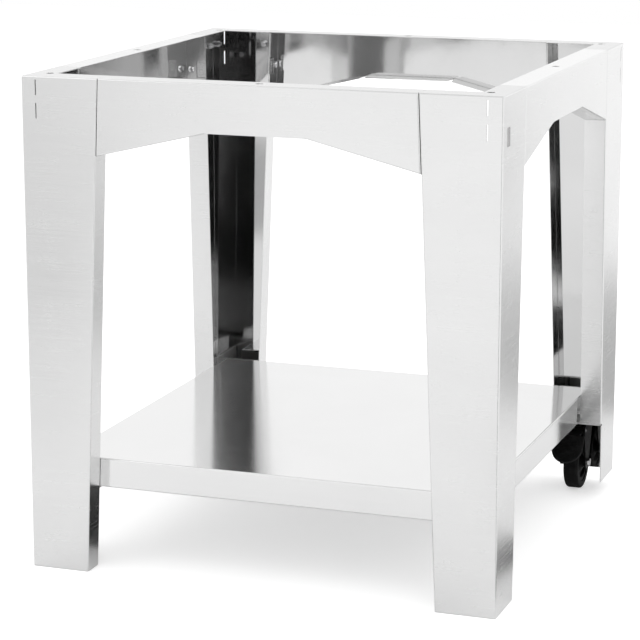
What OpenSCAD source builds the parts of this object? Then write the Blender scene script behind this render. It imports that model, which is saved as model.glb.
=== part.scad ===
// Stand for an outdoor pizza oven, folded from stainless sheet.
// Four tapered corner legs, four arched aprons, a tray shelf and two braked casters under the rear legs.
// X points right, Y points back, Z points up, and the origin is on the floor under the middle of the stand.

/* [Table] */
// Overall width across the outer faces of the legs
table_w = 808; // [700:1:1000]
// Overall depth from the front face to the back face
table_d = 824; // [700:1:1000]
// Height of the top face above the floor
table_h = 830; // [700:1:950]
// Thickness of the stainless sheet
sheet_t = 1.5; // [1:0.1:2]
// Outside radius of a fold in the sheet
fold_r = 2.5; // [2:0.1:4]
// Depth of the flanges folded inward along the free edges of legs and aprons
lip_w = 40; // [34:1:42]
// Width of the flange folded inward along the top
top_flange_w = 44; // [36:1:60]

/* [Legs] */
// Width of a leg face at the top
leg_top_w = 135; // [122:1:170]
// Width of a leg face at the floor
leg_foot_w = 101; // [100:1:110]
// Height of the rear legs' lower edge above the floor
rear_leg_lift = 25; // [10:1:60]
// Length of a narrow vertical slit near a leg's outer corner
slit_l = 25; // [15:1:30]
// Width of a slit
slit_w = 2; // [1.5:0.1:3]
// Distance between the two slits of a pair
slit_gap = 13; // [8:1:20]
// Distance from the outer corner to a slit
slit_in = 24.5; // [18:0.5:40]
// Distance from the top face down to the upper slit
slit_drop = 6; // [5:1:12]
// Width of the accessory slot in a front leg's side face
slot_w = 18.5; // [12:0.5:20]
// Height of the accessory slot
slot_h = 30; // [20:1:40]
// Distance from the front face to the accessory slot
slot_in = 21.5; // [15:0.5:30]
// Distance from the top face down to the accessory slot
slot_drop = 50.5; // [40:0.5:60]

/* [Aprons] */
// Height of an apron at its ends
apron_end_h = 126; // [115:1:150]
// Height of an apron over the flat middle of its arch
apron_mid_h = 80; // [60:1:95]
// Length of the flat middle of the arch on the front and back aprons
front_flat_l = 169; // [120:1:240]
// Length of the flat middle of the arch on the side aprons
side_flat_l = 195; // [120:1:240]
// Half width of the relief notch where the arch lip changes direction
relief_w = 5; // [1:0.5:8]

/* [Top holes] */
// Diameter of the holes in the top flange
top_hole_d = 13; // [8:0.5:16]
// Distance of a corner hole from the table's left or right face
corner_hole_side = 32; // [28:1:35]
// Distance of a corner hole from the table's front or back face
corner_hole_end = 42; // [36:1:60]
// Distance of a mid-side hole from the outer face
mid_hole_in = 24; // [18:1:28]

/* [Shelf] */
// Height of the shelf's top face above the floor
shelf_h = 188; // [180:1:300]
// Height of the shelf's folded skirt
shelf_skirt_h = 50; // [30:1:52]
// Width of the hem folded inward at the bottom of the skirt
shelf_hem_w = 12; // [8:1:13]
// Gap between the shelf and the lips of the legs
shelf_gap = 1; // [0.5:0.1:3]
// Distance between the side skirt's rear end and the rear leg's lip
skirt_rear_gap = 20; // [5:1:40]

/* [Brackets] */
// Thickness of the corner bracket that carries the shelf and a caster
bracket_t = 3; // [2:0.5:4]
// Height of the bracket's flanges along the leg faces
bracket_flange_h = 40; // [8:1:60]

/* [Screws] */
// Thread diameter of the apron screws
screw_d = 6; // [5:1:6]
// Diameter of a pan head
screw_head_d = 12; // [10:0.5:13]
// Height of a pan head
screw_head_h = 4; // [3:0.5:5]
// Distance of an apron screw from the outer face
screw_in = 12; // [10:0.5:14]
// Distance of an apron screw below the top face
screw_drop = 65; // [55:1:70]
// Height of the apron screws' nuts
nut_h = 5; // [4:0.5:6]
// Width across the flats of the apron screws' nuts
nut_w = 10; // [9:0.5:11]
// Width of the pan head's cross recess
recess_w = 1.6; // [1:0.1:2]

/* [Casters] */
// Wheel diameter
wheel_d = 100; // [90:1:103]
// Wheel width
wheel_w = 27; // [20:1:30]
// Distance of the swivel axis from the leg's side face
swivel_side_in = 57; // [55:0.5:57]
// Distance of the swivel axis from the leg's back face
swivel_back_in = 39; // [38:0.5:41]
// Distance from the swivel axis to the axle
caster_trail = 18; // [12:1:20]
// Angle of the casters away from straight, turned towards the middle of the stand
caster_rest_turn = 0; // [0:1:12]
// Length of the caster's top plate from side to side
caster_plate_l = 92; // [90:1:94]
// Width of the caster's top plate from front to back
caster_plate_w = 64; // [62:1:68]
// Thickness of the caster's top plate
caster_plate_t = 3; // [2:0.5:4]
// Distance between the fixing bolts from side to side
caster_bolt_l = 74; // [73:1:75]
// Distance between the fixing bolts from front to back
caster_bolt_w = 46; // [45:1:48]
// Thread diameter of the caster's fixing bolts
caster_bolt_d = 8; // [6:1:8]
// Diameter of the swivel pin
kingpin_d = 12; // [10:0.5:14]
// Diameter of the fork's crown
crown_d = 58; // [54:1:62]
// Thickness of the fork's sheet
fork_t = 3; // [2:0.5:3.5]
// Diameter of the axle bolt
axle_d = 8; // [6:0.5:10]
// Thickness of the rubber tread
tyre_t = 13; // [8:0.5:16]
// Thickness of the ball race under the top plate
race_t = 2.4; // [2:0.1:4]

/* [Brake] */
// Width of the brake pedal's tread
pedal_w = 56; // [44:1:60]
// Reach of the pedal from the swivel axis
pedal_reach = 114; // [104:1:118]
// Thickness of the pedal's tread
pedal_t = 5; // [4:0.5:6]
// Slope of the tread below the level
pedal_slope = 44; // [30:1:50]
// Diameter of the brake's pivot pin
brake_pin_d = 6; // [5:0.5:7]
// Angle that the pedal turns down to brake
brake_throw = 10; // [8:0.5:12]
// Number of grip ribs across the tread
grip_ribs = 4; // [2:1:5]
// Width of a grip rib
grip_w = 2.5; // [2:0.1:3]
// Height of a grip rib
grip_h = 1.2; // [0.8:0.1:2]

/* [Hidden] */
$fn = 64;
// Gap left between pieces that seat on each other
fit_gap = 0.3;
// Radial clearance of a pin that turns in a bore
run_gap = 0.08;
// Radial clearance of a screw in its hole
screw_gap = 0.25;
// Overrun of every cut
cut_over = 1;

// How far the leg's free edge leans from the vertical
taper = atan((leg_top_w - leg_foot_w) / table_h);
joint_z = table_h - screw_drop;
shelf_low = shelf_h - shelf_skirt_h;
bracket_top = shelf_low - fit_gap;
bracket_low = bracket_top - bracket_t;
rear_lip_low = bracket_top + fit_gap;
// Slit under the end of a lip that stops short, so that it can be folded
lip_relief_w = 2 * fold_r;
lip_relief_h = 2 * sheet_t;
caster_top = bracket_low - fit_gap;
axle_z = wheel_d / 2;
race_top = caster_top - caster_plate_t - fit_gap;
crown_top = race_top - race_t - fit_gap;
crown_low = crown_top - fork_t;
// Depth of the rim turned down round the crown
crown_rim_h = 4;
// Radius of the fork's arms round the brake pin
arm_eye_r = 1.6 * brake_pin_d;
plate_corner_r = caster_bolt_d;
kingpin_head_h = fork_t;
kingpin_head_d = 1.6 * kingpin_d;
hub_side_gap = 4;
fork_in = wheel_w / 2 + hub_side_gap;
fork_out = fork_in + fork_t;
fork_end_r = 1.6 * axle_d;
axle_head_w = 1.6 * axle_d;
axle_head_h = 0.65 * axle_d;
core_r = wheel_d / 2 - tyre_t;
tread_round = 4;
brake_pin_y = 33;
brake_pin_z = crown_low - 1.9 * brake_pin_d;
lever_half_w = fork_in - fit_gap;
// Height of the tread's upper end, and where it starts in front of the swivel axis
tread_top_z = crown_low - 2 * pedal_t;
tread_y = wheel_d / 2 + caster_trail + pedal_t;
tread_l = (pedal_reach - tread_y) / cos(pedal_slope);
shoe_w = wheel_w - tread_round;
shoe_y = brake_pin_y + 1.5 * brake_pin_d;
shoe_l = 14;
caster_bolt_head_h = 0.55 * caster_bolt_d;
caster_nut_h = 0.8 * caster_bolt_d;
caster_hex_w = 1.6 * caster_bolt_d;
stud_d = screw_d;
stud_l = 9;
stud_side_in = 22;
stud_side_drop = 33;
stud_back_in = 108;
stud_back_drop = 27;

// Width of a leg face at a height above the floor
function leg_w_at(z) = leg_foot_w + (leg_top_w - leg_foot_w) * z / table_h;

// Stands an outline drawn in X and Z upright, with its thickness towards +Y
module upright(depth) {
    rotate([90, 0, 0])
        translate([0, 0, -depth])
            linear_extrude(depth)
                children();
}

// Lays a part drawn along Z down along X
module along_x() {
    rotate([0, 90, 0])
        children();
}

// Puts a piece drawn for one corner, with its arms along +X and +Y, at the corner named by the two signs
module at_corner(side, end) {
    translate([side * table_w / 2, end * table_d / 2, 0])
        mirror([max(side, 0), 0, 0])
            mirror([0, max(end, 0), 0])
                children();
}

// Swaps X and Y, for the second arm of a leg
module other_arm() {
    mirror([1, -1, 0])
        children();
}

// What a fold's outside radius takes off the sharp edge from p to q of an outline that runs anticlockwise
module fold_cut(p, q, ends = cut_over) {
    run = norm(q - p);
    turn = atan2(q[1] - p[1], q[0] - p[0]);
    translate([p[0], 0, p[1]])
        rotate([0, -turn, 0])
            difference() {
                translate([-ends, -cut_over, -cut_over])
                    cube([run + 2 * ends, fold_r + cut_over, fold_r + cut_over]);
                translate([-2 * cut_over, fold_r, fold_r])
                    along_x()
                        cylinder(r = fold_r, h = run + 4 * cut_over);
            }
}

// Places what belongs to an apron joint on the leg's lip, with +X pointing out of the lip
module at_joint() {
    translate([leg_w_at(joint_z), screw_in, joint_z])
        rotate([0, taper, 0])
            children();
}

module joint_hole() {
    at_joint()
        along_x()
            cylinder(d = screw_d + 2 * screw_gap, h = 2 * lip_w, center = true);
}

// Rectangle with rounded corners, centred on the origin
module round_rect(long, wide, corner_r) {
    square([long - 2 * corner_r, wide], center = true);
    square([long, wide - 2 * corner_r], center = true);
    for (x = [-1, 1])
        for (y = [-1, 1])
            translate([x * (long / 2 - corner_r), y * (wide / 2 - corner_r)])
                circle(r = corner_r);
}

// Direction square to the straight edge that runs along the left of two round ends, from a to b
function side_dir(a, a_r, b, b_r) =
    let (
        turn = atan2(b[1] - a[1], b[0] - a[0]),
        lean = acos((a_r - b_r) / norm(b - a))
    )
    [cos(turn + lean), sin(turn + lean)];

module hex_prism(width, height) {
    cylinder(d = width / cos(30), h = height, $fn = 6);
}

// One folded face of a leg with its lip along the free edge and its top flange
module leg_arm(low, lip_low) {
    difference() {
        union() {
            upright(sheet_t)
                polygon([[0, low], [leg_w_at(low), low], [leg_top_w, table_h], [0, table_h]]);
            upright(lip_w)
                polygon([
                    [leg_w_at(lip_low) - sheet_t, lip_low],
                    [leg_w_at(lip_low), lip_low],
                    [leg_top_w, table_h],
                    [leg_top_w - sheet_t, table_h]
                ]);
            translate([0, 0, table_h - sheet_t])
                cube([leg_top_w, top_flange_w, sheet_t]);
        }
        joint_hole();
        fold_cut([leg_w_at(lip_low), lip_low], [leg_top_w, table_h]);
        if (lip_low > low)
            translate([leg_w_at(lip_low) - lip_relief_w, -cut_over, lip_low - lip_relief_h])
                cube([2 * lip_relief_w, lip_w + 2 * cut_over, lip_relief_h]);
    }
}

module slit_pair() {
    for (row = [0, 1])
        translate([slit_in, -cut_over, table_h - slit_drop - slit_l - row * (slit_l + slit_gap)])
            cube([slit_w, sheet_t + 2 * cut_over, slit_l]);
}

module accessory_slot() {
    translate([-cut_over, slot_in, table_h - slot_drop - slot_h])
        cube([sheet_t + 2 * cut_over, slot_w, slot_h]);
}

module leg(low, lip_low) {
    difference() {
        union() {
            leg_arm(low, lip_low);
            other_arm()
                leg_arm(low, lip_low);
        }
        fold_cut([0, table_h], [0, low]);
        fold_cut([leg_top_w, table_h], [0, table_h]);
        other_arm()
            fold_cut([leg_top_w, table_h], [0, table_h]);
        translate([corner_hole_side, corner_hole_end, table_h - 2 * sheet_t])
            cylinder(d = top_hole_d, h = 3 * sheet_t);
    }
}

module front_leg() {
    difference() {
        leg(0, 0);
        slit_pair();
        accessory_slot();
    }
}

// A rear leg stops above the floor, and its lips stop on the bracket
module rear_leg() {
    leg(rear_leg_lift, rear_lip_low);
}

module front_left_leg() {
    color("silver")
        at_corner(-1, -1)
            front_leg();
}

module front_right_leg() {
    color("silver")
        at_corner(1, -1)
            front_leg();
}

module rear_left_leg() {
    color("silver")
        at_corner(-1, 1)
            difference() {
                rear_leg();
                slit_pair();
            }
}

module rear_right_leg() {
    color("silver")
        at_corner(1, 1)
            difference() {
                rear_leg();
                other_arm()
                    slit_pair();
            }
}

// An arched apron along X, with its outer face at Y = 0, for a side of the stand that is 2 * half long
module apron(half, flat_l) {
    low = table_h - apron_end_h;
    crest = table_h - apron_mid_h;
    top_x = half - leg_top_w - fit_gap;
    end_x = half - leg_w_at(low) - fit_gap;
    flat_x = flat_l / 2;
    slope = atan((crest - low) / (end_x - flat_x));
    mitre = sheet_t * tan(slope / 2);
    rise = sheet_t / cos(slope);
    bottom = [[-end_x, low], [-flat_x, crest], [flat_x, crest], [end_x, low]];
    top = [[top_x, table_h], [-top_x, table_h]];
    difference() {
        union() {
            upright(sheet_t)
                polygon(concat(bottom, top));
            upright(lip_w)
                polygon(concat(bottom, [
                    [end_x, low + rise],
                    [flat_x + mitre, crest + sheet_t],
                    [-flat_x - mitre, crest + sheet_t],
                    [-end_x, low + rise]
                ]));
            for (hand = [0, 1])
                mirror([hand, 0, 0])
                    upright(lip_w)
                        polygon([
                            [end_x - sheet_t, low],
                            [end_x, low],
                            [top_x, table_h],
                            [top_x - sheet_t, table_h]
                        ]);
            translate([-top_x, 0, table_h - sheet_t])
                cube([2 * top_x, top_flange_w, sheet_t]);
        }
        for (k = [0 : 2])
            fold_cut(bottom[k], bottom[k + 1], 0);
        fold_cut(bottom[3], top[0]);
        fold_cut(top[0], top[1]);
        fold_cut(top[1], bottom[0]);
        translate([0, mid_hole_in, table_h - 2 * sheet_t])
            cylinder(d = top_hole_d, h = 3 * sheet_t);
        for (hand = [0, 1])
            mirror([hand, 0, 0]) {
                translate([-half, 0, 0])
                    joint_hole();
                translate([flat_x, 0, crest - sheet_t])
                    linear_extrude(3 * sheet_t)
                        polygon([
                            [0, fold_r],
                            [relief_w, lip_w + cut_over],
                            [-relief_w, lip_w + cut_over]
                        ]);
                translate([end_x - lip_w, slot_in, table_h - slot_drop - slot_h])
                    cube([2 * lip_w, lip_w, slot_h]);
            }
    }
}

module front_apron() {
    color("gainsboro")
        translate([0, -table_d / 2, 0])
            apron(table_w / 2, front_flat_l);
}

module back_apron() {
    color("gainsboro")
        rotate([0, 0, 180])
            translate([0, -table_d / 2, 0])
                apron(table_w / 2, front_flat_l);
}

module left_apron() {
    color("gainsboro")
        rotate([0, 0, -90])
            translate([0, -table_w / 2, 0])
                apron(table_d / 2, side_flat_l);
}

module right_apron() {
    color("gainsboro")
        rotate([0, 0, 90])
            translate([0, -table_w / 2, 0])
                apron(table_d / 2, side_flat_l);
}

// Skirt and hem of the shelf along X from x0 to x1, with the outer face at Y = 0
module skirt(x0, x1) {
    translate([x0, 0, shelf_low])
        cube([x1 - x0, sheet_t, shelf_skirt_h]);
    translate([x0, 0, shelf_low])
        cube([x1 - x0, shelf_hem_w, sheet_t]);
}

// A tray with its skirt down. The side skirts stop short of the rear legs.
module shelf() {
    half_x = table_w / 2 - lip_w - shelf_gap;
    half_y = table_d / 2 - lip_w - shelf_gap;
    rear_y = table_d / 2 - leg_w_at(shelf_h) - skirt_rear_gap;
    color("lightgray")
        difference() {
            union() {
                translate([-half_x, -half_y, shelf_h - sheet_t])
                    cube([2 * half_x, 2 * half_y, sheet_t]);
                for (turn = [0, 180])
                    rotate([0, 0, turn])
                        translate([0, -half_y, 0])
                            skirt(-half_x, half_x);
                for (hand = [0, 1])
                    mirror([hand, 0, 0])
                        translate([half_x, 0, 0])
                            rotate([0, 0, 90])
                                skirt(-half_y, rear_y);
            }
            for (turn = [0, 180])
                rotate([0, 0, turn])
                    translate([0, -half_y, 0]) {
                        fold_cut([half_x, shelf_h], [-half_x, shelf_h]);
                        fold_cut([-half_x, shelf_low], [half_x, shelf_low]);
                    }
            for (hand = [0, 1])
                mirror([hand, 0, 0])
                    translate([half_x, 0, 0])
                        rotate([0, 0, 90]) {
                            fold_cut([half_y, shelf_h], [-half_y, shelf_h]);
                            fold_cut([-half_y, shelf_low], [rear_y, shelf_low], 0);
                        }
        }
}

// Centres of the four bolts of a caster, from the swivel axis
bolt_signs = [[-1, -1], [1, -1], [1, 1], [-1, 1]];

module at_caster_bolts() {
    for (s = bolt_signs)
        translate([
            swivel_side_in + s[0] * caster_bolt_l / 2,
            swivel_back_in + s[1] * caster_bolt_w / 2,
            0
        ])
            children();
}

// Inside a front leg the lips run down past the bracket
front_reach = leg_w_at(bracket_low) - sheet_t - fit_gap;
// Under a rear leg's lips the bracket reaches out to the lips' faces
rear_reach = leg_w_at(bracket_low);

// Plate across the inside of a leg, with two flanges up the leg's faces that end short of its lips
module bracket(reach, drilled) {
    inner = sheet_t + fit_gap;
    flange_l = front_reach - inner;
    flange_h = bracket_t + bracket_flange_h;
    difference() {
        union() {
            translate([inner, inner, bracket_low])
                cube([reach - inner, reach - inner, bracket_t]);
            translate([inner, inner, bracket_low])
                cube([flange_l, bracket_t, flange_h]);
            translate([inner, inner, bracket_low])
                cube([bracket_t, flange_l, flange_h]);
        }
        if (drilled)
            translate([0, 0, bracket_low - cut_over])
                at_caster_bolts()
                    cylinder(d = caster_bolt_d + 2 * screw_gap, h = bracket_t + 2 * cut_over);
    }
}

module front_left_bracket() {
    color("darkgray")
        at_corner(-1, -1)
            bracket(front_reach, false);
}

module front_right_bracket() {
    color("darkgray")
        at_corner(1, -1)
            bracket(front_reach, false);
}

module rear_left_bracket() {
    color("darkgray")
        at_corner(-1, 1)
            bracket(rear_reach, true);
}

module rear_right_bracket() {
    color("darkgray")
        at_corner(1, 1)
            bracket(rear_reach, true);
}

// Pan head with a cross recess, standing on Z = 0
module pan_head() {
    rim_h = screw_head_h / 2;
    dome_r = (pow(screw_head_d / 2, 2) + pow(screw_head_h - rim_h, 2)) / (2 * (screw_head_h - rim_h));
    difference() {
        intersection() {
            cylinder(d = screw_head_d, h = screw_head_h);
            translate([0, 0, screw_head_h - dome_r])
                sphere(r = dome_r);
        }
        for (turn = [0, 90])
            rotate([0, 0, turn])
                translate([-screw_head_d / 4, -recess_w / 2, screw_head_h / 2])
                    cube([screw_head_d / 2, recess_w, screw_head_h]);
    }
}

module apron_screw() {
    seat = sheet_t + 2 * fit_gap;
    tail = sheet_t + fit_gap + nut_h + fit_gap;
    at_joint()
        along_x() {
            translate([0, 0, seat])
                pan_head();
            translate([0, 0, -tail])
                cylinder(d = screw_d, h = seat + tail);
        }
}

module apron_nut() {
    at_joint()
        along_x()
            translate([0, 0, -sheet_t - fit_gap - nut_h])
                difference() {
                    hex_prism(nut_w, nut_h);
                    translate([0, 0, -cut_over])
                        cylinder(d = screw_d + 2 * run_gap, h = nut_h + 2 * cut_over);
                }
}

// Repeats what is drawn for one apron joint at the eight joints of the stand
module at_all_joints() {
    for (side = [-1, 1])
        for (end = [-1, 1])
            at_corner(side, end) {
                children();
                other_arm()
                    children();
            }
}

module apron_screws() {
    color("whitesmoke")
        at_all_joints()
            apron_screw();
}

module apron_nuts() {
    color("gray")
        at_all_joints()
            apron_nut();
}

// The two studs on the inner faces of the rear left leg
module at_studs() {
    at_corner(-1, 1) {
        translate([sheet_t, stud_side_in, table_h - stud_side_drop])
            along_x()
                children();
        other_arm()
            translate([sheet_t, stud_back_in, table_h - stud_back_drop])
                along_x()
                    children();
    }
}

module leg_studs() {
    color("whitesmoke")
        at_studs()
            translate([0, 0, fit_gap])
                cylinder(d = stud_d, h = stud_l);
}

module leg_stud_nuts() {
    color("gray")
        at_studs()
            translate([0, 0, 2 * fit_gap])
                difference() {
                    hex_prism(nut_w, nut_h);
                    translate([0, 0, -cut_over])
                        cylinder(d = stud_d + 2 * run_gap, h = nut_h + 2 * cut_over);
                }
}

module caster_bolts() {
    shank = caster_plate_t + 2 * fit_gap + bracket_t + caster_nut_h + 2 * fit_gap;
    color("whitesmoke")
        for (side = [-1, 1])
            at_corner(side, 1)
                translate([0, 0, caster_top - caster_plate_t - fit_gap])
                    at_caster_bolts() {
                        translate([0, 0, -caster_bolt_head_h])
                            hex_prism(caster_hex_w, caster_bolt_head_h);
                        cylinder(d = caster_bolt_d, h = shank);
                    }
}

module caster_bolt_nuts() {
    color("gray")
        for (side = [-1, 1])
            at_corner(side, 1)
                translate([0, 0, bracket_top + fit_gap])
                    at_caster_bolts()
                        difference() {
                            hex_prism(caster_hex_w, caster_nut_h);
                            translate([0, 0, -cut_over])
                                cylinder(d = caster_bolt_d + 2 * run_gap, h = caster_nut_h + 2 * cut_over);
                        }
}

// Puts a caster's piece, drawn round the swivel axis and trailing towards +Y, under a rear leg
module at_caster(side) {
    at_corner(side, 1)
        translate([swivel_side_in, swivel_back_in, 0])
            rotate([0, 0, -caster_rest_turn])
                children();
}

module at_axle() {
    translate([0, caster_trail, axle_z])
        along_x()
            children();
}

module caster_plate(side) {
    color("dimgray")
        at_corner(side, 1)
            difference() {
                translate([swivel_side_in, swivel_back_in, caster_top - caster_plate_t])
                    linear_extrude(caster_plate_t)
                        round_rect(caster_plate_l, caster_plate_w, plate_corner_r);
                translate([0, 0, caster_top - caster_plate_t - cut_over])
                    at_caster_bolts()
                        cylinder(d = caster_bolt_d + 2 * screw_gap, h = caster_plate_t + 2 * cut_over);
                translate([swivel_side_in, swivel_back_in, caster_top - caster_plate_t - cut_over])
                    cylinder(d = kingpin_d + 2 * run_gap, h = caster_plate_t + 2 * cut_over);
            }
}

module ball_race(side) {
    race_in = kingpin_d / 2 + fork_t;
    race_out = crown_d / 2 - fork_t;
    color("silver")
        at_caster(side)
            translate([0, 0, race_top - race_t])
                difference() {
                    cylinder(r = race_out, h = race_t);
                    translate([0, 0, -cut_over])
                        cylinder(r = race_in, h = race_t + 2 * cut_over);
                }
}

module kingpin(side) {
    head_top = crown_low - fit_gap;
    color("silver")
        at_caster(side) {
            translate([0, 0, head_top])
                cylinder(d = kingpin_d, h = caster_top - head_top);
            translate([0, 0, head_top - kingpin_head_h])
                cylinder(d = kingpin_head_d, h = kingpin_head_h);
        }
}

// Back and front ends of the fork's arms as shares of the crown's radius
arm_end_shares = [-0.76, 0.9];
// Width of the arms beside a pin as a share of the round end there
arm_edge_share = 0.92;

// One arm of the fork in Y and Z, from the crown past the brake pin down to the axle
module arm_outline() {
    back = [arm_end_shares[0] * crown_d / 2, crown_top];
    front = [arm_end_shares[1] * crown_d / 2, crown_top];
    eye = [brake_pin_y, brake_pin_z];
    foot = [caster_trail, axle_z];
    eye_w = arm_edge_share * arm_eye_r;
    foot_w = arm_edge_share * fork_end_r;
    front_dir = side_dir(front, 0, eye, arm_eye_r);
    leg_dir = side_dir(eye, arm_eye_r, foot, fork_end_r);
    back_dir = side_dir(foot, fork_end_r, back, 0);
    polygon([
        back,
        front,
        eye + eye_w * front_dir,
        eye + eye_w * leg_dir,
        foot + foot_w * leg_dir,
        foot + foot_w * back_dir
    ]);
    translate(eye)
        circle(r = arm_eye_r);
    translate(foot)
        circle(r = fork_end_r);
}

module fork_arm() {
    difference() {
        rotate([0, 0, 90])
            upright(fork_t)
                arm_outline();
        translate([-fork_t / 2, caster_trail, axle_z])
            along_x()
                cylinder(d = axle_d + 2 * run_gap, h = 2 * fork_t + 2 * cut_over, center = true);
        translate([-fork_t / 2, brake_pin_y, brake_pin_z])
            along_x()
                cylinder(d = brake_pin_d + 2 * run_gap, h = 2 * fork_t + 2 * cut_over, center = true);
    }
}

// Pressed crown: a flat disc with a chamfered rim turned down
module crown() {
    bore_r = kingpin_d / 2 + run_gap;
    rim_r = crown_d / 2;
    flat_r = rim_r - fork_t;
    rim_low = crown_low - crown_rim_h;
    chamfer = fork_t / 2;
    rotate_extrude()
        polygon([
            [bore_r, crown_low],
            [flat_r, crown_low],
            [flat_r, rim_low],
            [rim_r, rim_low],
            [rim_r, crown_top - chamfer],
            [rim_r - chamfer, crown_top],
            [bore_r, crown_top]
        ]);
}

module fork(side) {
    color("#202124")
        at_caster(side) {
            crown();
            for (x = [-fork_in, fork_out])
                translate([x, 0, 0])
                    fork_arm();
        }
}

module axle_bolt(side) {
    grip = fork_out + fit_gap;
    color("silver")
        at_caster(side)
            at_axle() {
                translate([0, 0, -grip])
                    cylinder(d = axle_d, h = 2 * grip + axle_head_h);
                translate([0, 0, -grip - axle_head_h])
                    hex_prism(axle_head_w, axle_head_h);
            }
}

module axle_nut(side) {
    color("gray")
        at_caster(side)
            at_axle()
                translate([0, 0, fork_out + fit_gap])
                    difference() {
                        hex_prism(axle_head_w, axle_head_h);
                        translate([0, 0, -cut_over])
                            cylinder(d = axle_d + 2 * run_gap, h = axle_head_h + 2 * cut_over);
                    }
}

// Half section of the wheel's core as shares of its radius and of half its width
core_shares = [
    [1, 0], [1, 0.86], [0.84, 0.86], [0.78, 0.5], [0.62, 0.46], [0.48, 0.72], [0.34, 0.9]
];

module wheel_core(side) {
    hub_r = axle_d;
    hub_x = fork_in - fit_gap;
    bore_r = axle_d / 2 + run_gap;
    outer = [for (s = core_shares) [s[0] * core_r, s[1] * wheel_w / 2]];
    hub = [[hub_r, hub_x], [bore_r, hub_x]];
    half_section = concat(outer, hub);
    count = len(half_section);
    other_half = [for (k = [count - 1 : -1 : 1]) [half_section[k][0], -half_section[k][1]]];
    color("#2c2d30")
        at_caster(side)
            at_axle()
                rotate_extrude()
                    polygon(concat(half_section, other_half));
}

module tyre(side) {
    flat = wheel_w / 2 - tread_round;
    inner = core_r + fit_gap / 3;
    color("#141416")
        at_caster(side)
            at_axle()
                rotate_extrude()
                    union() {
                        translate([inner, -wheel_w / 2])
                            square([wheel_d / 2 - tread_round - inner, wheel_w]);
                        translate([inner, -flat])
                            square([wheel_d / 2 - inner, 2 * flat]);
                        for (end = [-1, 1])
                            translate([wheel_d / 2 - tread_round, end * flat])
                                circle(r = tread_round);
                    }
}

module brake_pin(side) {
    color("silver")
        at_caster(side)
            translate([0, brake_pin_y, brake_pin_z])
                along_x()
                    cylinder(d = brake_pin_d, h = 2 * fork_out, center = true);
}

module at_brake_pin() {
    translate([0, brake_pin_y, brake_pin_z])
        children();
}

// The tread as a tongue with a rounded tip, drawn flat from its upper end along +Y
module tongue() {
    tip_r = pedal_w / 2;
    linear_extrude(pedal_t)
        intersection() {
            union() {
                translate([-pedal_w / 2, 0])
                    square([pedal_w, tread_l - tip_r]);
                translate([0, tread_l - tip_r])
                    circle(r = tip_r);
            }
            translate([-pedal_w / 2, 0])
                square([pedal_w, tread_l]);
        }
}

// Ribs across the tread's upper face, drawn flat like the tongue
module grips() {
    pitch = tread_l / (grip_ribs + 2);
    for (k = [1 : grip_ribs])
        translate([-lever_half_w, k * pitch, pedal_t - grip_h])
            cube([2 * lever_half_w, grip_w, 2 * grip_h]);
}

// Pedal on its pin: a level lever between the fork's arms, then the sloping tread that a foot presses
module brake_pedal(side) {
    eye_r = brake_pin_d;
    lever_w = 2 * lever_half_w;
    color("#1a1a1c")
        at_caster(side)
            difference() {
                union() {
                    translate([-lever_half_w, brake_pin_y, tread_top_z - pedal_t])
                        cube([lever_w, tread_y - brake_pin_y + pedal_t, pedal_t]);
                    at_brake_pin()
                        along_x()
                            cylinder(r = eye_r, h = lever_w, center = true);
                    translate([0, tread_y, tread_top_z - pedal_t])
                        rotate([-pedal_slope, 0, 0]) {
                            tongue();
                            grips();
                        }
                }
                at_brake_pin()
                    along_x()
                        cylinder(d = brake_pin_d + 2 * run_gap, h = lever_w + 2 * cut_over, center = true);
            }
}

// Pad under the lever. Its hollow face meets the wheel once the pedal is down.
module brake_shoe(side) {
    shoe_top = tread_top_z - pedal_t - fit_gap;
    color("#2b2b2e")
        at_caster(side)
            difference() {
                translate([-shoe_w / 2, shoe_y, axle_z])
                    cube([shoe_w, shoe_l, shoe_top - axle_z]);
                at_brake_pin()
                    rotate([brake_throw, 0, 0])
                        translate([0, -brake_pin_y, -brake_pin_z])
                            at_axle()
                                cylinder(r = wheel_d / 2 + fit_gap, h = 2 * wheel_w, center = true);
            }
}

front_left_leg();
front_right_leg();
rear_left_leg();
rear_right_leg();
front_apron();
back_apron();
left_apron();
right_apron();
shelf();
front_left_bracket();
front_right_bracket();
rear_left_bracket();
rear_right_bracket();
apron_screws();
apron_nuts();
leg_studs();
leg_stud_nuts();
caster_bolts();
caster_bolt_nuts();
caster_plate(-1);  // left_caster_plate
ball_race(-1);  // left_ball_race
kingpin(-1);  // left_kingpin
fork(-1);  // left_fork
axle_bolt(-1);  // left_axle_bolt
axle_nut(-1);  // left_axle_nut
wheel_core(-1);  // left_wheel_core
tyre(-1);  // left_tyre
brake_pin(-1);  // left_brake_pin
brake_pedal(-1);  // left_brake_pedal
brake_shoe(-1);  // left_brake_shoe
caster_plate(1);  // right_caster_plate
ball_race(1);  // right_ball_race
kingpin(1);  // right_kingpin
fork(1);  // right_fork
axle_bolt(1);  // right_axle_bolt
axle_nut(1);  // right_axle_nut
wheel_core(1);  // right_wheel_core
tyre(1);  // right_tyre
brake_pin(1);  // right_brake_pin
brake_pedal(1);  // right_brake_pedal
brake_shoe(1);  // right_brake_shoe
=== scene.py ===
import bpy
from mathutils import Matrix, Vector

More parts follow.
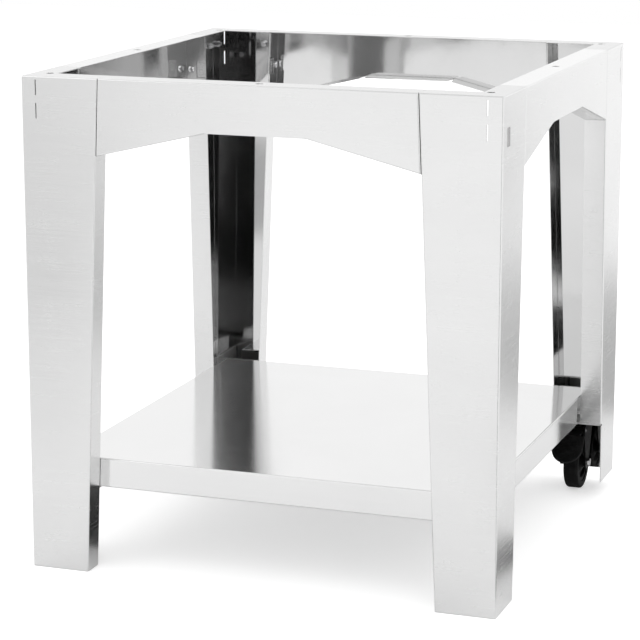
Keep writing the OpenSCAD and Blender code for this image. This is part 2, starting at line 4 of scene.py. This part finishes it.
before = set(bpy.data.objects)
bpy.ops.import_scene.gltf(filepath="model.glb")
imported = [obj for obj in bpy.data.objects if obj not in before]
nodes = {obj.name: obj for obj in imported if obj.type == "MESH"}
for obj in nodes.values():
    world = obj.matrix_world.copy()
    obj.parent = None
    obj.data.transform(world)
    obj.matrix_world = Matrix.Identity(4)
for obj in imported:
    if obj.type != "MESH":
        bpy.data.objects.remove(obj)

scene = bpy.context.scene
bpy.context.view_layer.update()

# Where on the object, in metres
LEG_PLATE_X = 0.395         # beyond this lie the legs' side plates, short of it their lips
LEG_PLATE_Y = 0.403         # the same for their front and back plates
APRON_TOP = 0.80            # above this lie the aprons' top flanges

# How far a face's normal leans along an axis, from 0 to 1
ALONG = 0.6
TOWARDS = 0.5

# Materials
MIDDLE = (0.3, 0.7)         # the part of a noise's range that holds nearly all of it
LINE_DETAIL = dict(detail=4, rough=0.65)
ANISOTROPY = 0.8
INSIDE_SMOOTHER = 0.8       # how much of the brushing's relief the inner faces lose
FLANGE_DULLER = 0.10        # added to the roughness of the aprons' end flanges
# Painted shade in seams and corners: how far ambient occlusion looks, and how dark it paints the
# colour
SHADE_REACH = 0.006
SHADE_DARK = 0.12
BEVEL_SAMPLES = 4
AO_SAMPLES = 6

# Floor and lamps
FLOOR_HALF = 9
CARD_HEIGHT = 0.001
CAMERA_LIFT = 0.50          # glow of the floor for the camera
AIM = (0, 0, 0.4)           # where both lamps point

# Surroundings. They are nearly even and white, and only reflections show the rest.
# To the right of the front they are dark low down. A narrow dark screen stands
# taller there, with a gap in the dark beside it. To the left of the front they are
# a little dimmer. Angles are in radians from the front, positive to the right, and
# heights are the upward part of a direction, from 0 to 1.
SKY_LOW, SKY_HIGH = 1.10, 0.95
DARK_SIDE = (0.24, 0.54)
DARK_TOP = (0.06, 0.22)     # fades out between these heights
SCREEN = (0.342, 0.388)
SCREEN_TOP = (0.40, 0.55)
GAP = (0.388, 0.430)
DARK_DEPTH = 0.97           # how much the dark parts take away
DIM_STARTS = (0.36, 0.47)   # angles to the left
DIM_ENDS = (0.8, 1.3)
DIM_DEPTH = 0.35

# Camera, fitted to the photograph's straight edges
CAMERA_PLACE = (1.3637, -3.9384, 1.2956)
CAMERA_FORWARD = (-0.3271, 0.9197, -0.2171)
SENSOR_MM = 36.0
LENS_MM = 136.55
CLIP = (0.1, 60)


# Small helpers for node trees

class Nodes:
    """Short ways to add and link the nodes of one node tree."""

    def __init__(self, tree):
        self.nt = tree

    def add(self, kind, **values):
        n = self.nt.nodes.new(kind)
        for key, value in values.items():
            setattr(n, key, value)
        return n

    def link(self, a, b):
        self.nt.links.new(a, b)

    def feed(self, sock, value):
        if isinstance(value, (int, float)):
            sock.default_value = value
        else:
            self.link(value, sock)

    def math(self, op, a, b=0.0):
        n = self.add("ShaderNodeMath", operation=op)
        self.feed(n.inputs[0], a)
        self.feed(n.inputs[1], b)
        return n.outputs[0]

    def plus(self, a, b):
        return self.math("ADD", a, b)

    def times(self, a, b):
        return self.math("MULTIPLY", a, b)

    def without(self, a):
        return self.math("SUBTRACT", 1.0, a)

    def size(self, a):
        return self.math("ABSOLUTE", a)

    def above(self, a, limit):
        return self.math("GREATER_THAN", a, limit)

    def below(self, a, limit):
        return self.math("LESS_THAN", a, limit)

    def either(self, a, b):
        return self.math("MAXIMUM", a, b)

    def split(self, vector):
        n = self.add("ShaderNodeSeparateXYZ")
        self.link(vector, n.inputs[0])
        return list(n.outputs)

    def ramp(self, value, source, target=(0.0, 1.0)):
        """Map the range source to the range target, and stop at its ends."""
        n = self.add("ShaderNodeMapRange", clamp=True)
        self.feed(n.inputs["Value"], value)
        n.inputs["From Min"].default_value, n.inputs["From Max"].default_value = source
        n.inputs["To Min"].default_value, n.inputs["To Max"].default_value = target
        return n.outputs["Result"]

    def window(self, value, ends, soft):
        """0 outside the ends and 1 between them; each edge fades over soft, upward."""
        rises = self.ramp(value, (ends[0], ends[0] + soft))
        falls = self.ramp(value, (ends[1], ends[1] + soft))
        return self.times(rises, self.without(falls))

    def mix(self, fac, a, b):
        n = self.add("ShaderNodeMix", data_type="FLOAT")
        self.feed(n.inputs[0], fac)
        self.feed(n.inputs[2], a)
        self.feed(n.inputs[3], b)
        return n.outputs[0]


class Tree(Nodes):
    """The node tree of one new material."""

    def __init__(self, name):
        self.mat = bpy.data.materials.new(name)
        self.mat.use_nodes = True
        super().__init__(self.mat.node_tree)
        self.bsdf = self.nt.nodes["Principled BSDF"]
        self.normal = self.add("ShaderNodeNewGeometry").outputs["Normal"]
        self.place = self.add("ShaderNodeTexCoord").outputs["Object"]

    def shade(self, socket, value):
        self.feed(self.bsdf.inputs[socket], value)

    def noise(self, scale, detail, rough=0.5, offset=(0, 0, 0)):
        m = self.add("ShaderNodeMapping")
        self.link(self.place, m.inputs["Vector"])
        m.inputs["Scale"].default_value = scale
        m.inputs["Location"].default_value = offset
        n = self.add("ShaderNodeTexNoise")
        self.link(m.outputs[0], n.inputs["Vector"])
        n.inputs["Scale"].default_value = 1.0
        n.inputs["Detail"].default_value = detail
        n.inputs["Roughness"].default_value = rough
        return n.outputs["Fac"]

    def grey(self, value, tint=(1, 1, 1)):
        n = self.add("ShaderNodeCombineColor")
        for i in range(3):
            self.link(self.times(value, tint[i]), n.inputs[i])
        return n.outputs[0]

    def relief(self, height, strength, distance, edge):
        """Bump over edges rounded by the radius edge."""
        round_edge = self.add("ShaderNodeBevel", samples=BEVEL_SAMPLES)
        round_edge.inputs["Radius"].default_value = edge
        n = self.add("ShaderNodeBump")
        n.inputs["Strength"].default_value = strength
        n.inputs["Distance"].default_value = distance
        self.link(height, n.inputs["Height"])
        self.link(round_edge.outputs[0], n.inputs["Normal"])
        self.shade("Normal", n.outputs[0])

    def painted_crevice_shade(self, reach, source, dark):
        """Painted shade: close to 1 in the open, down to dark in seams and corners, where ambient
        occlusion finds them.
        """
        n = self.add("ShaderNodeAmbientOcclusion", samples=AO_SAMPLES)
        n.inputs["Distance"].default_value = reach
        return self.ramp(n.outputs["AO"], source, (dark, 1.0))


# Materials of the object

def steel(name, inside=None, base=0.80, rough=0.25, grain=0.03, top_along="x",
          in_rough=0.045, in_shaded_base=0.66, flange=None):
    """Stainless sheet: brushed on the outside, near mirror on the inside, where its colour is
    darker: partly the inside's own tone, partly painted shade of the hollow.

    The brushing runs level on upright faces and along one axis on level ones, so
    reflections spread across it: up and down, or along the other axis. The folded
    end flanges of an apron, which face along it, are duller than its inner face.
    """
    t = Tree(name)
    nx, ny, nz = t.split(t.normal)
    level = t.above(t.size(nz), ALONG)
    upright_lines = t.noise((7, 7, 900), **LINE_DETAIL)
    level_lines = t.noise((6, 900, 6) if top_along == "x" else (900, 6, 6), **LINE_DETAIL)
    lines = t.mix(level, upright_lines, level_lines)
    cloud = t.noise((5, 5, 9), detail=2)
    handled = t.noise((38, 38, 30), detail=4, rough=0.6, offset=(3, 1, 2))

    finish = t.plus(t.ramp(lines, MIDDLE, (rough - grain, rough + grain)),
                    t.ramp(handled, (0.5, 0.8), (0.0, 0.025)))
    colour = t.plus(t.ramp(lines, MIDDLE, (base - 0.02, base + 0.015)),
                    t.ramp(cloud, MIDDLE, (-0.012, 0.012)))
    height = lines
    if inside is not None:
        mask = inside(t, nx, ny, nz)
        mirror = t.ramp(handled, (0.35, 0.75), (in_rough, in_rough + 0.03))
        if flange is not None:
            ends = t.above(t.size(nx if flange == "x" else ny), ALONG)
            mirror = t.plus(mirror, t.times(ends, FLANGE_DULLER))
        finish = t.mix(mask, finish, mirror)
        # The inner faces take a darker colour: partly the inside's own tone, partly painted shade
        # in the hollows of legs and aprons
        colour = t.mix(mask, colour, t.ramp(cloud, MIDDLE, (in_shaded_base - 0.015, in_shaded_base + 0.015)))
        height = t.times(lines, t.without(t.times(mask, INSIDE_SMOOTHER)))

    # Painted shade: ambient occlusion darkens the steel's colour in seams and corners
    painted_seam_shade = t.painted_crevice_shade(SHADE_REACH, (0.15, 0.6), SHADE_DARK)
    t.shade("Base Color", t.grey(t.times(colour, painted_seam_shade)))
    t.shade("Roughness", finish)
    t.relief(height, 0.08, 0.0002, edge=0.0006)

    across = t.add("ShaderNodeCombineXYZ")
    t.feed(across.inputs["X" if top_along == "y" else "Y"], level)
    t.feed(across.inputs["Z"], t.without(level))
    t.shade("Tangent", across.outputs[0])
    t.shade("Anisotropic", ANISOTROPY)
    t.shade("Metallic", 1.0)
    return t.mat


def outward(t, n, p):
    """A normal's part n along an axis, above 0 where it points away from the middle."""
    return t.times(n, t.math("SIGN", p))


def leg_inside(t, nx, ny, nz):
    """1 on the faces of a leg that look into its hollow."""
    x, y = t.split(t.place)[:2]
    faces = t.below(nz, -TOWARDS)
    for n, p, limit in ((nx, x, LEG_PLATE_X), (ny, y, LEG_PLATE_Y)):
        facing = outward(t, n, p)
        far = t.above(t.size(p), limit)
        plate = t.times(far, t.below(facing, -TOWARDS))
        lip = t.times(t.without(far), t.above(facing, TOWARDS))
        faces = t.either(faces, t.either(plate, lip))
    return faces


def apron_inside(t, nx, ny, nz):
    """1 on the faces of an apron that look into its hollow."""
    x, y, z = t.split(t.place)
    walls = t.either(t.below(outward(t, nx, x), -TOWARDS), t.below(outward(t, ny, y), -TOWARDS))
    high = t.above(z, APRON_TOP)
    under = t.times(high, t.below(nz, -TOWARDS))
    lip = t.times(t.without(high), t.above(nz, TOWARDS))
    return t.either(walls, t.either(under, lip))


def bright_metal(name):
    """Plated fixings: bright, with fine pits and a faint cloud."""
    t = Tree(name)
    fine = t.noise((400, 400, 400), detail=3)
    cloud = t.noise((90, 90, 90), detail=3, offset=(2, 5, 1))
    t.shade("Base Color", t.grey(t.ramp(cloud, MIDDLE, (0.75, 0.84)), (1, 1, 1.01)))
    t.shade("Roughness", t.ramp(fine, MIDDLE, (0.10, 0.18)))
    t.relief(fine, 0.06, 0.0002, edge=0.0005)
    t.shade("Metallic", 1.0)
    return t.mat


def black(name, rough, grain, base=0.003, bump=0.10):
    """Black paint, plastic or rubber, a little paler and duller where dust lies."""
    t = Tree(name)
    fine = t.noise((grain, grain, grain), detail=2)
    dust = t.noise((70, 70, 70), detail=4, rough=0.6, offset=(1, 4, 2))
    t.shade("Base Color", t.grey(t.ramp(dust, (0.45, 0.8), (base, base + 0.010))))
    t.shade("Roughness", t.plus(t.ramp(fine, MIDDLE, (rough - 0.05, rough + 0.05)),
                                t.ramp(dust, (0.4, 0.8), (0.0, 0.12))))
    t.relief(fine, bump, 0.0003, edge=0.0006)
    t.shade("Specular IOR Level", 0.11)
    return t.mat


# The darker inner colours set below are partly painted shade of the hollows, deepest in the legs
leg_steel = steel("leg steel", leg_inside)
apron_x = steel("apron steel along x", apron_inside, top_along="x",
                in_rough=0.06, in_shaded_base=0.70, flange="x")
apron_y = steel("apron steel along y", apron_inside, top_along="y",
                in_rough=0.09, in_shaded_base=0.74, flange="y")
shelf_steel = steel("shelf steel", base=0.82, rough=0.14, grain=0.015)
bracket_steel = steel("bracket steel", base=0.70, rough=0.32)
bright = bright_metal("zinc plated steel")
painted = black("black painted steel", rough=0.36, grain=700)
moulded = black("black moulded plastic", rough=0.5, grain=1100, bump=0.14)
rubber = black("tyre rubber", base=0.004, rough=0.62, grain=1400, bump=0.2)

# A node takes the material of its whole name, or else of its name's last word
looks = {
    "front_apron": apron_x, "back_apron": apron_x,
    "left_apron": apron_y, "right_apron": apron_y,
    "leg": leg_steel, "bracket": bracket_steel, "shelf": shelf_steel,
    "tyre": rubber, "shoe": rubber, "core": moulded, "pedal": moulded,
    "fork": painted, "plate": painted,
    "screws": bright, "studs": bright, "bolts": bright, "bolt": bright,
    "nuts": bright, "nut": bright, "race": bright, "kingpin": bright, "pin": bright,
}
for name, obj in nodes.items():
    last_word = name.split("_")[-1]
    obj.data.materials.clear()
    obj.data.materials.append(looks[name] if name in looks else looks[last_word])


# Floor and cards

def plane(name, corners, mat):
    mesh = bpy.data.meshes.new(name)
    mesh.from_pydata(corners, [], [range(len(corners))])
    obj = bpy.data.objects.new(name, mesh)
    obj.data.materials.append(mat)
    scene.collection.objects.link(obj)
    return obj


def floor_material():
    """Pale floor, lifted to white for the camera and raised for reflections."""
    t = Tree("pale floor")
    cloud = t.noise((3, 3, 3), detail=2)
    t.shade("Base Color", t.grey(t.ramp(cloud, MIDDLE, (0.83, 0.85))))
    t.shade("Roughness", 0.9)
    t.shade("Specular IOR Level", 0.1)
    light = t.add("ShaderNodeLightPath")
    x, y = t.split(t.place)[:2]
    away = t.math("SQRT", t.plus(t.times(x, x), t.times(y, y)))
    lift = t.plus(t.times(light.outputs["Is Glossy Ray"], t.ramp(away, (0.4, 3.0), (0.09, 0.20))),
                  t.times(light.outputs["Is Camera Ray"], CAMERA_LIFT))
    glow = t.add("ShaderNodeEmission")
    t.link(lift, glow.inputs["Strength"])
    both = t.add("ShaderNodeAddShader")
    t.link(t.bsdf.outputs[0], both.inputs[0])
    t.link(glow.outputs[0], both.inputs[1])
    t.link(both.outputs[0], t.nt.nodes["Material Output"].inputs["Surface"])
    return t.mat


def card_material(name, base):
    t = Tree(name)
    weave = t.noise((60, 60, 60), detail=2)
    t.shade("Base Color", t.grey(t.ramp(weave, MIDDLE, (base * 0.7, base * 1.3))))
    t.shade("Roughness", 0.95)
    t.shade("Specular IOR Level", 0.0)
    return t.mat


def card(name, corners, mat):
    """A studio card flat on the floor, which only reflections show."""
    obj = plane(name, [(x, y, CARD_HEIGHT) for x, y in corners], mat)
    obj.visible_camera = False
    obj.visible_diffuse = False
    obj.visible_shadow = False
    return obj


plane("floor", [(-FLOOR_HALF, -FLOOR_HALF, 0), (FLOOR_HALF, -FLOOR_HALF, 0),
                (FLOOR_HALF, FLOOR_HALF, 0), (-FLOOR_HALF, FLOOR_HALF, 0)],
      floor_material())

black_card = card_material("black card", 0.007)
card("black card", [(0.15, -1.25), (2.2, -8.8), (4.6, -8.8), (0.62, -1.25)], black_card)
card("black strip on the right", [(0.42, 0.0), (0.50, 0.0), (0.80, -1.25), (0.68, -1.25)],
     black_card)
# Painted shade: a dark card where the floor lies in the table's shadow, which only reflections
# show
card("painted shade under the shelf",
     [(-0.27, -0.30), (0.30, -0.30), (0.30, 0.35), (-0.27, 0.35)], black_card)
card("black card behind", [(1.55, 3.9), (2.15, 3.9), (3.2, 6.4), (2.5, 6.4)], black_card)
card("grey card", [(0.25, 0.9), (0.45, 2.3), (1.5, 2.3), (1.0, 0.9)],
     card_material("grey card", 0.48))
card("pale grey card", [(-1.25, -1.75), (-2.3, -3.6), (-1.71, -3.6), (-0.89, -1.75)],
     card_material("pale grey card", 0.5))
pale_strip = card("pale strip on the black card",
                  [(1.25, -3.2), (1.33, -3.6), (1.80, -4.75), (3.36, -8.8),
                   (4.09, -8.8), (2.22, -4.75), (1.50, -3.2)],
                  card_material("pale strip", 0.7))
pale_strip.location.z = CARD_HEIGHT


# Surroundings, lamps and camera

def surroundings():
    world = bpy.data.worlds.new("studio")
    scene.world = world
    world.use_nodes = True
    w = Nodes(world.node_tree)
    x, y, z = w.split(w.add("ShaderNodeTexCoord").outputs["Generated"])
    path = w.add("ShaderNodeLightPath")
    sky = w.ramp(z, (-0.1, 0.9), (SKY_LOW, SKY_HIGH))

    right = w.math("ARCTAN2", x, w.times(y, -1.0))
    low = w.times(w.window(right, DARK_SIDE, 0.06), w.without(w.ramp(z, DARK_TOP)))
    low = w.times(low, w.without(w.window(right, GAP, 0.008)))
    screen = w.times(w.window(right, SCREEN, 0.008), w.without(w.ramp(z, SCREEN_TOP)))
    dark = w.times(w.either(low, screen), path.outputs["Is Glossy Ray"])

    left = w.times(right, -1.0)
    dim = w.times(w.ramp(left, DIM_STARTS), w.without(w.ramp(left, DIM_ENDS)))
    dim = w.times(dim, path.outputs["Is Glossy Ray"])

    shown = w.times(sky, w.without(w.times(dark, DARK_DEPTH)))
    shown = w.times(shown, w.without(w.times(dim, DIM_DEPTH)))
    background = w.nt.nodes["Background"]
    background.inputs["Color"].default_value = (1, 1, 1, 1)
    w.link(w.mix(path.outputs["Is Camera Ray"], shown, 1.0), background.inputs["Strength"])


surroundings()


def lamp(name, place, size, power):
    data = bpy.data.lights.new(name, "AREA")
    data.shape = "RECTANGLE"
    data.size, data.size_y = size
    data.energy = power
    obj = bpy.data.objects.new(name, data)
    obj.location = place
    obj.rotation_mode = "QUATERNION"
    obj.rotation_quaternion = (Vector(AIM) - Vector(place)).to_track_quat("-Z", "Y")
    scene.collection.objects.link(obj)


lamp("key", (-2.4, -2.6, 3.4), (2.2, 2.2), 14)
lamp("fill", (3.2, -1.2, 2.6), (1.8, 2.4), 7)

lens = bpy.data.cameras.new("camera")
lens.sensor_width = SENSOR_MM
lens.lens = LENS_MM
lens.clip_start, lens.clip_end = CLIP
camera = bpy.data.objects.new("camera", lens)
scene.collection.objects.link(camera)
scene.camera = camera
turn = Vector(CAMERA_FORWARD).normalized().to_track_quat("-Z", "Y").to_matrix().to_4x4()
camera.matrix_world = Matrix.Translation(CAMERA_PLACE) @ turn

scene.view_settings.view_transform = "Standard"
